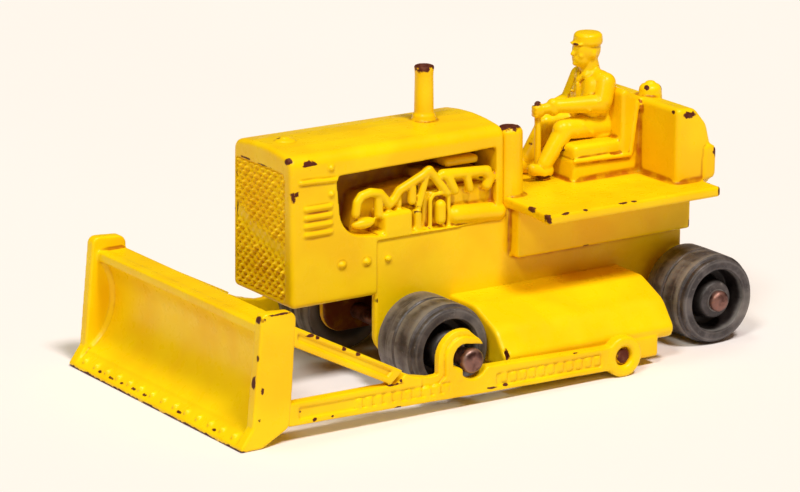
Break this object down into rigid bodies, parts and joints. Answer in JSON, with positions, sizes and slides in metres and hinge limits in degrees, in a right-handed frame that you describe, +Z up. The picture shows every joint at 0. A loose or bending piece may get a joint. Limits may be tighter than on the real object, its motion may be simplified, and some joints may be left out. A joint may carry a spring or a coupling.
{
  "type": "toy bulldozer",
  "caption": "Pocket die-cast toy crawler bulldozer with a seated driver, a dozer blade on pivoting push arms and free-turning rollers on through axles.",
  "frame": {"origin": "on the floor under the middle of the machine's bounding box", "axes": "+X forward towards the blade, +Y to the machine's left, +Z up"},
  "size_m": [0.058, 0.0304, 0.0284],
  "materials": {
    "yellow_enamel": "glossy yellow enamel, chipped to dark metal along its edges",
    "roller_metal": "bare die-cast metal, tarnished grey-brown",
    "axle_steel": "dull steel, browned with age"
  },
  "bodies": {
    "tractor": {"hood": "yellow_enamel", "radiator_grille": "yellow_enamel", "radiator_cap": "yellow_enamel", "engine_block": "yellow_enamel", "exhaust_stack": "yellow_enamel", "air_cleaner": "yellow_enamel", "dashboard": "yellow_enamel", "crankcase_left": "yellow_enamel", "crankcase_right": "yellow_enamel", "intake_manifold_left": "yellow_enamel", "intake_manifold_right": "yellow_enamel", "exhaust_manifold_left": "yellow_enamel", "exhaust_manifold_right": "yellow_enamel", "valve_cover_left": "yellow_enamel", "valve_cover_right": "yellow_enamel", "fuel_filter_left": "yellow_enamel", "fuel_filter_right": "yellow_enamel", "starter_motor_left": "yellow_enamel", "starter_motor_right": "yellow_enamel", "injection_pump_left": "yellow_enamel", "injection_pump_right": "yellow_enamel", "chassis_side_left": "yellow_enamel", "chassis_side_right": "yellow_enamel", "chassis_back": "yellow_enamel", "valance_left": "yellow_enamel", "valance_right": "yellow_enamel", "platform": "yellow_enamel", "seat_base": "yellow_enamel", "seat_cushion": "yellow_enamel", "seat_back": "yellow_enamel", "rear_tank": "yellow_enamel", "tank_cap": "yellow_enamel", "winch_housing": "yellow_enamel", "driver": "yellow_enamel", "control_lever": "yellow_enamel", "track_cover_left": "yellow_enamel", "track_cover_right": "yellow_enamel", "track_frame_left": "yellow_enamel", "track_frame_right": "yellow_enamel", "pivot_stud_left": "yellow_enamel", "pivot_stud_right": "yellow_enamel"},
    "blade": {"moldboard": "yellow_enamel", "cutting_edge": "yellow_enamel", "end_plate_left": "yellow_enamel", "end_plate_right": "yellow_enamel", "push_arm_left": "yellow_enamel", "push_arm_right": "yellow_enamel", "brace_strut_left": "yellow_enamel", "brace_strut_right": "yellow_enamel"},
    "front_axle": {"front_axle": "axle_steel"},
    "rear_axle": {"rear_axle": "axle_steel"},
    "front_left_roller": {"roller_front_left": "roller_metal"},
    "front_right_roller": {"roller_front_right": "roller_metal"},
    "rear_left_roller": {"roller_rear_left": "roller_metal"},
    "rear_right_roller": {"roller_rear_right": "roller_metal"}
  },
  "joints": [
    {"name": "blade_lift", "type": "hinge", "parent": "tractor", "child": "blade", "pos_m": [-0.0115, 0, 0.0019], "axis": [0, -1, 0], "range_deg": [-1.2, 1.1]},
    {"name": "front_axle_spin", "type": "hinge", "parent": "tractor", "child": "front_axle", "pos_m": [0.005, 0, 0.0042], "axis": [0, 1, 0], "continuous": true},
    {"name": "rear_axle_spin", "type": "hinge", "parent": "tractor", "child": "rear_axle", "pos_m": [-0.0248, 0, 0.0042], "axis": [0, 1, 0], "continuous": true},
    {"name": "front_left_roller_spin", "type": "hinge", "parent": "front_axle", "child": "front_left_roller", "pos_m": [0.005, 0.0086, 0.0042], "axis": [0, 1, 0], "continuous": true},
    {"name": "front_right_roller_spin", "type": "hinge", "parent": "front_axle", "child": "front_right_roller", "pos_m": [0.005, -0.0086, 0.0042], "axis": [0, 1, 0], "continuous": true},
    {"name": "rear_left_roller_spin", "type": "hinge", "parent": "rear_axle", "child": "rear_left_roller", "pos_m": [-0.0248, 0.0086, 0.0042], "axis": [0, 1, 0], "continuous": true},
    {"name": "rear_right_roller_spin", "type": "hinge", "parent": "rear_axle", "child": "rear_right_roller", "pos_m": [-0.0248, -0.0086, 0.0042], "axis": [0, 1, 0], "continuous": true}
  ]
}
